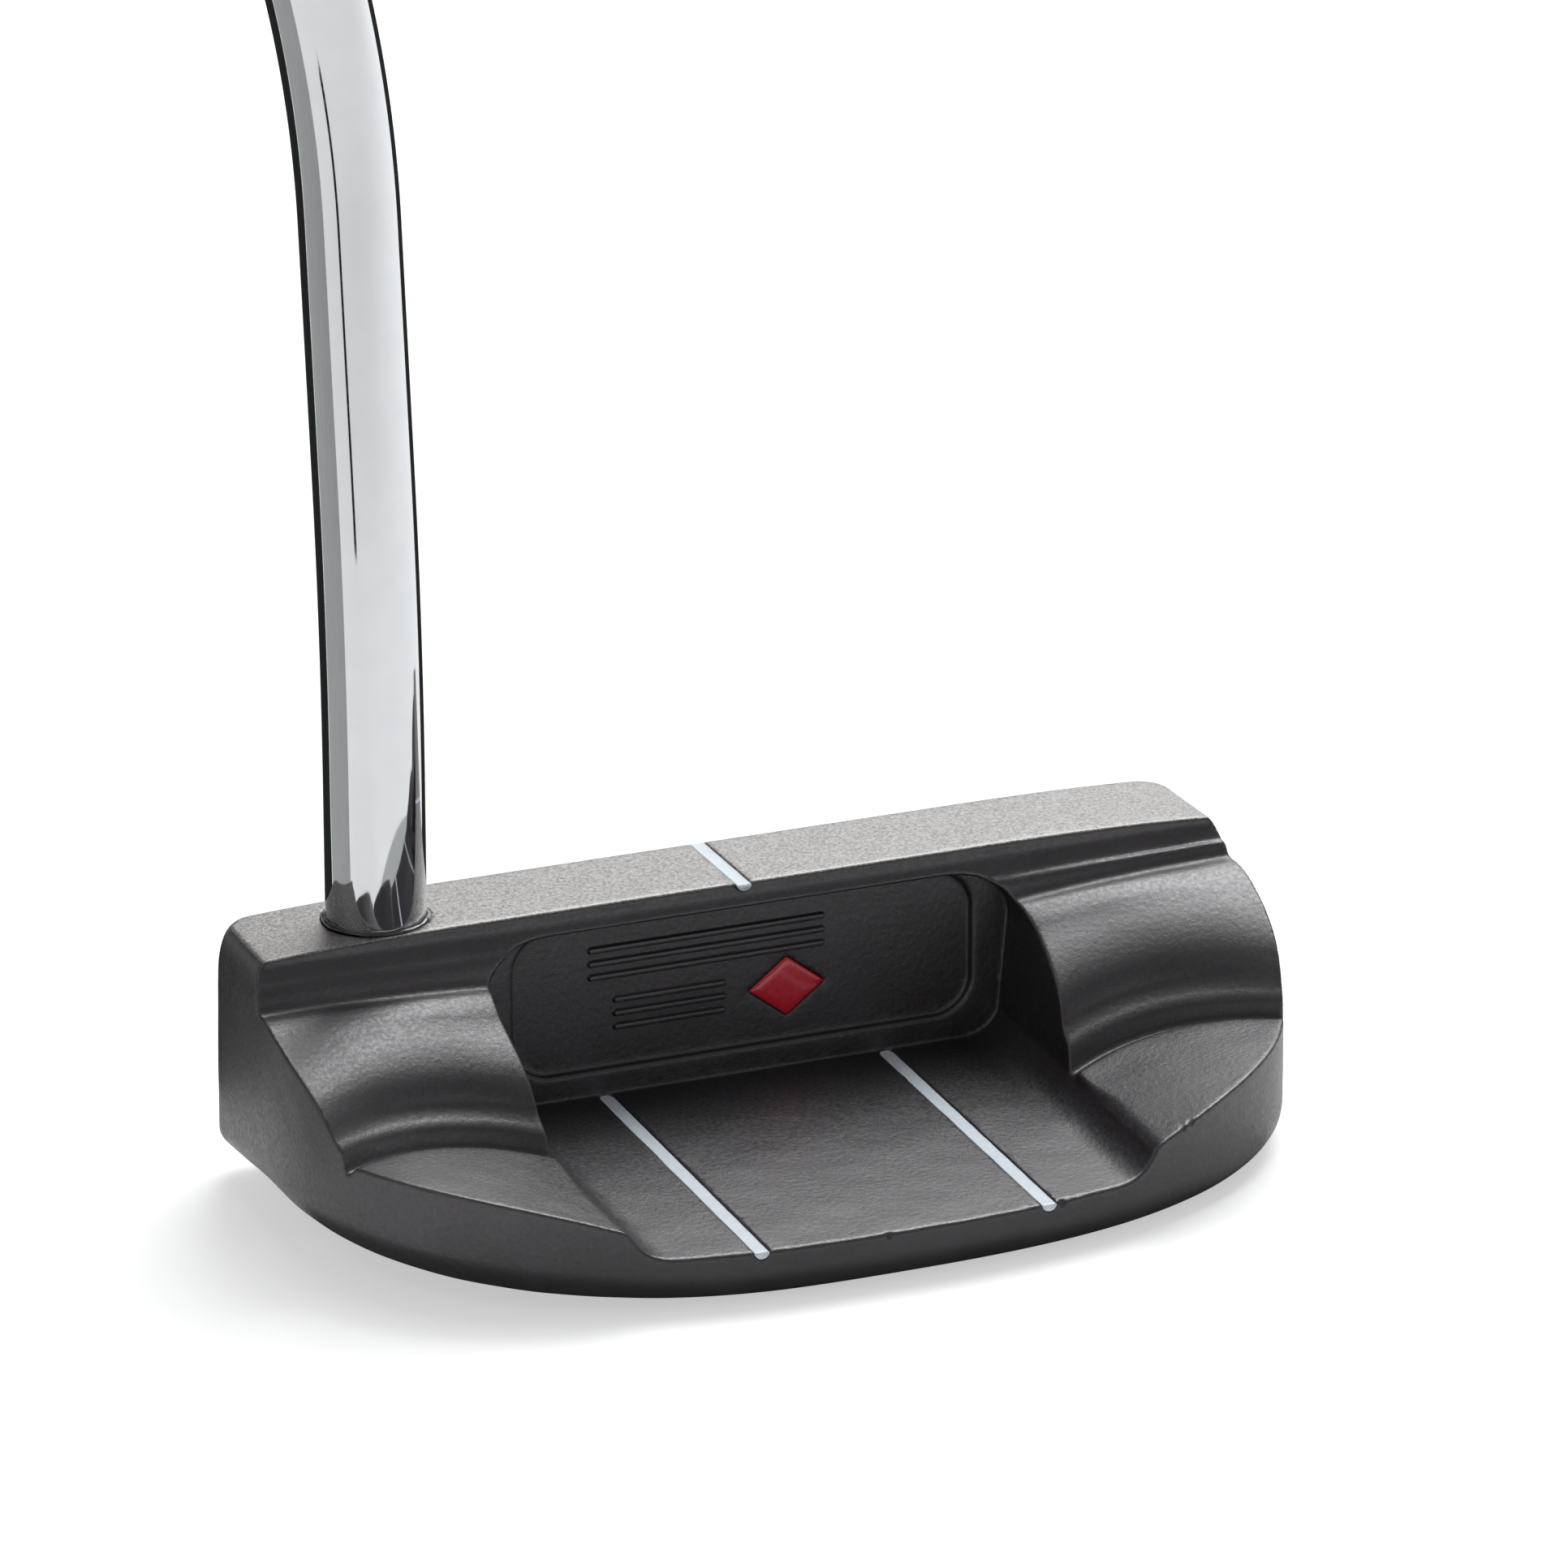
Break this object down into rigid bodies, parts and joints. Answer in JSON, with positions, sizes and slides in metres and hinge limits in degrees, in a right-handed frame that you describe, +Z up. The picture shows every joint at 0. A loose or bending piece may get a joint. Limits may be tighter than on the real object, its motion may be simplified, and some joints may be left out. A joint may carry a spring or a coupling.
{
  "type": "mallet putter",
  "caption": "Right-handed mid-mallet golf putter with a black cast head, a double-bend chrome shaft and a rubber grip.",
  "frame": {"origin": "centre of the flat of the sole, which rests on the ground", "axes": "+Z up along the club, +X to the toe, +Y out of the strike face along the target line"},
  "size_m": [0.3616, 0.0633, 0.8386],
  "materials": {
    "black_casting": "satin",
    "white_paint": "satin",
    "red_enamel": "gloss",
    "chrome_shaft": "gloss",
    "epoxy": "gloss",
    "grip_rubber": "matte",
    "tape": "matte"
  },
  "bodies": {
    "root": {"head_body": "black_casting", "centre_sight_line": "white_paint", "heel_alignment_line": "white_paint", "toe_alignment_line": "white_paint", "pocket_enamel": "red_enamel", "shaft_epoxy": "epoxy", "shaft": "chrome_shaft", "grip_tape": "tape", "grip": "grip_rubber", "grip_cap": "grip_rubber"}
  },
  "joints": []
}
